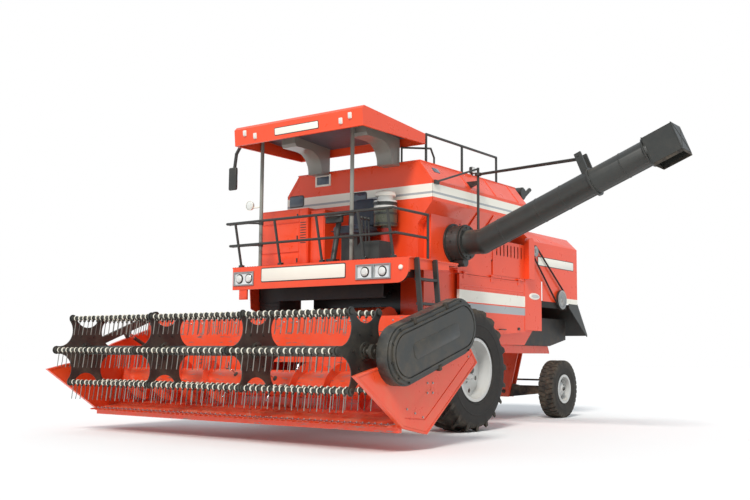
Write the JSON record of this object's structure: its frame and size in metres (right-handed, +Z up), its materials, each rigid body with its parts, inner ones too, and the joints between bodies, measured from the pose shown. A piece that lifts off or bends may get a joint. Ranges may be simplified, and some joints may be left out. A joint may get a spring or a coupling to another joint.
{
  "type": "combine harvester",
  "caption": "Self-propelled combine harvester with canopy, open grain tank, swinging unloading auger, raised grain header with tined reel, lugged drive wheels and steered rear wheels.",
  "frame": {"origin": "on the ground under the middle of the whole machine's box, with the unloading auger swung out", "axes": "-Y is the front of the machine, +X its left side, +Z up"},
  "size_m": [6.5916, 8.137, 3.89],
  "materials": {
    "bright_steel": "ground steel",
    "canister": "silver-white paint",
    "charcoal_paint": "satin charcoal paint",
    "chassis_paint": "satin dark chassis paint",
    "grey_tube": "grey painted tube",
    "lamp_lens": "clear ribbed lens over a bright bowl",
    "orange_paint": "glossy orange-red enamel on pressed sheet",
    "rim_paint": "cream-white wheel paint",
    "seat_cover": "dark blue vinyl",
    "tyre_rubber": "black tyre rubber"
  },
  "bodies": {
    "chassis": {"frame": "orange_paint", "drive_axle": "chassis_paint", "rear_axle": "chassis_paint", "thresher": "orange_paint", "sieve_box": "charcoal_paint", "side_panels": "orange_paint", "sills": "orange_paint", "boot": "orange_paint", "straw_hood": "orange_paint", "deflector": "charcoal_paint", "grain_tank": "orange_paint", "engine": "chassis_paint", "exhaust": "charcoal_paint", "belt_drive": "charcoal_paint", "elevator": "orange_paint", "platform": "orange_paint", "rails": "charcoal_paint", "ladder": "charcoal_paint", "canopy": "orange_paint", "canopy_posts": "grey_tube", "mirrors": "charcoal_paint", "lamps": "lamp_lens", "seat": "seat_cover", "controls": "charcoal_paint", "cabinet": "orange_paint", "air_cleaner": "canister", "auger_hub": "charcoal_paint"},
    "unloader": {"auger_tube": "charcoal_paint", "auger_stays": "charcoal_paint"},
    "header": {"feeder_house": "orange_paint", "trough": "orange_paint", "end_panels": "orange_paint", "knife": "charcoal_paint", "belt_cover": "charcoal_paint"},
    "intake": {"intake_auger": "orange_paint"},
    "lift_barrels": {"lift_barrels": "chassis_paint"},
    "lift_rods": {"lift_rods": "bright_steel"},
    "reel_arms": {"reel_arms": "charcoal_paint"},
    "reel_barrels": {"reel_barrels": "chassis_paint"},
    "reel_rods": {"reel_rods": "bright_steel"},
    "reel": {"reel_frame": "charcoal_paint"},
    "bat_1": {"bat_1": "charcoal_paint"},
    "bat_2": {"bat_2": "charcoal_paint"},
    "bat_3": {"bat_3": "charcoal_paint"},
    "bat_4": {"bat_4": "charcoal_paint"},
    "bat_5": {"bat_5": "charcoal_paint"},
    "bat_6": {"bat_6": "charcoal_paint"},
    "drive_wheel_left": {"drive_tyre_left": "tyre_rubber", "drive_rim_left": "rim_paint"},
    "drive_wheel_right": {"drive_tyre_right": "tyre_rubber", "drive_rim_right": "rim_paint"},
    "knuckle_left": {"knuckle_left": "chassis_paint"},
    "knuckle_right": {"knuckle_right": "chassis_paint"},
    "tie_rod": {"tie_rod": "chassis_paint"},
    "steer_wheel_left": {"steer_tyre_left": "tyre_rubber", "steer_rim_left": "rim_paint"},
    "steer_wheel_right": {"steer_tyre_right": "tyre_rubber", "steer_rim_right": "rim_paint"},
    "shield_left": {"shield_left": "orange_paint"},
    "shield_right": {"shield_right": "orange_paint"}
  },
  "joints": [
    {"name": "header_lift", "type": "hinge", "parent": "chassis", "child": "header", "pos_m": [-0.93078, -0.9715, 1.35], "axis": [-1, 0, 0], "range_deg": [-3.5, 20]},
    {"name": "lift_barrel_swing", "type": "hinge", "parent": "chassis", "child": "lift_barrels", "pos_m": [-0.93078, -0.5815, 0.56], "axis": [-1, 0, 0], "range_deg": [-2.98, 12.29]},
    {"name": "lift_rod_slide", "type": "slide", "parent": "lift_barrels", "child": "lift_rods", "axis": [0, -0.9925, 0.1218], "range_m": [-0.0464, 0.2463]},
    {"name": "intake_spin", "type": "hinge", "parent": "header", "child": "intake", "pos_m": [-0.93078, -2.7615, 0.62], "axis": [1, 0, 0], "continuous": true},
    {"name": "reel_lift", "type": "hinge", "parent": "header", "child": "reel_arms", "pos_m": [-0.93078, -2.4215, 1.45], "axis": [-1, 0, 0], "range_deg": [-3, 22]},
    {"name": "reel_barrel_swing", "type": "hinge", "parent": "header", "child": "reel_barrels", "pos_m": [-0.93078, -2.5315, 1], "axis": [-1, 0, 0], "range_deg": [-2.99, 15.6]},
    {"name": "reel_rod_slide", "type": "slide", "parent": "reel_barrels", "child": "reel_rods", "axis": [0, -0.892, 0.4519], "range_m": [-0.0258, 0.1702]},
    {"name": "reel_spin", "type": "hinge", "parent": "reel_arms", "child": "reel", "pos_m": [-0.93078, -3.5815, 0.98], "axis": [1, 0, 0], "continuous": true},
    {"name": "bat_1_feather", "type": "hinge", "parent": "reel", "child": "bat_1", "pos_m": [-0.93078, -3.1415, 0.98], "axis": [1, 0, 0], "continuous": true},
    {"name": "bat_2_feather", "type": "hinge", "parent": "reel", "child": "bat_2", "pos_m": [-0.93078, -3.3615, 1.36105], "axis": [1, 0, 0], "continuous": true},
    {"name": "bat_3_feather", "type": "hinge", "parent": "reel", "child": "bat_3", "pos_m": [-0.93078, -3.8015, 1.36105], "axis": [1, 0, 0], "continuous": true},
    {"name": "bat_4_feather", "type": "hinge", "parent": "reel", "child": "bat_4", "pos_m": [-0.93078, -4.0215, 0.98], "axis": [1, 0, 0], "continuous": true},
    {"name": "bat_5_feather", "type": "hinge", "parent": "reel", "child": "bat_5", "pos_m": [-0.93078, -3.8015, 0.59895], "axis": [1, 0, 0], "continuous": true},
    {"name": "bat_6_feather", "type": "hinge", "parent": "reel", "child": "bat_6", "pos_m": [-0.93078, -3.3615, 0.59895], "axis": [1, 0, 0], "continuous": true},
    {"name": "unloader_swing", "type": "hinge", "parent": "chassis", "child": "unloader", "pos_m": [0.36922, 0.0085, 2.42], "axis": [0, 0, 1], "range_deg": [0, 92]},
    {"name": "drive_wheel_left_spin", "type": "hinge", "parent": "chassis", "child": "drive_wheel_left", "pos_m": [0.37422, -0.4115, 0.775], "axis": [1, 0, 0], "continuous": true},
    {"name": "drive_wheel_right_spin", "type": "hinge", "parent": "chassis", "child": "drive_wheel_right", "pos_m": [-2.23578, -0.4115, 0.775], "axis": [1, 0, 0], "continuous": true},
    {"name": "steer_left", "type": "hinge", "parent": "chassis", "child": "knuckle_left", "pos_m": [-0.19778, 3.0885, 0.4475], "axis": [0, 0, 1], "range_deg": [-40, 40]},
    {"name": "steer_right", "type": "hinge", "parent": "chassis", "child": "knuckle_right", "pos_m": [-1.66378, 3.0885, 0.4475], "axis": [0, 0, 1], "range_deg": [-40, 40]},
    {"name": "tie_rod_swing", "type": "hinge", "parent": "knuckle_left", "child": "tie_rod", "pos_m": [-0.19778, 3.2785, 0.5725], "axis": [0, 0, 1], "range_deg": [-40, 40]},
    {"name": "steer_wheel_left_spin", "type": "hinge", "parent": "knuckle_left", "child": "steer_wheel_left", "pos_m": [-0.00778, 3.0885, 0.4475], "axis": [1, 0, 0], "continuous": true},
    {"name": "steer_wheel_right_spin", "type": "hinge", "parent": "knuckle_right", "child": "steer_wheel_right", "pos_m": [-1.85378, 3.0885, 0.4475], "axis": [1, 0, 0], "continuous": true},
    {"name": "shield_left_lift", "type": "hinge", "parent": "chassis", "child": "shield_left", "pos_m": [0.08522, 0.8885, 2.08], "axis": [0, -1, 0], "range_deg": [0, 80]},
    {"name": "shield_right_lift", "type": "hinge", "parent": "chassis", "child": "shield_right", "pos_m": [-1.94678, 0.8885, 2.08], "axis": [0, 1, 0], "range_deg": [0, 80]}
  ],
  "couplings": [
    {"joint": "lift_barrel_swing", "follows": "header_lift", "ratio": 0.56436},
    {"joint": "lift_rod_slide", "follows": "header_lift", "m_per_rad": 0.6941},
    {"joint": "reel_barrel_swing", "follows": "reel_lift", "ratio": 0.6636},
    {"joint": "reel_rod_slide", "follows": "reel_lift", "m_per_rad": 0.43555},
    {"joint": "steer_right", "follows": "steer_left", "ratio": 1},
    {"joint": "tie_rod_swing", "follows": "steer_left", "ratio": -1},
    {"joint": "bat_1_feather", "follows": "reel_spin", "ratio": -1},
    {"joint": "bat_2_feather", "follows": "reel_spin", "ratio": -1},
    {"joint": "bat_3_feather", "follows": "reel_spin", "ratio": -1},
    {"joint": "bat_4_feather", "follows": "reel_spin", "ratio": -1},
    {"joint": "bat_5_feather", "follows": "reel_spin", "ratio": -1},
    {"joint": "bat_6_feather", "follows": "reel_spin", "ratio": -1}
  ]
}
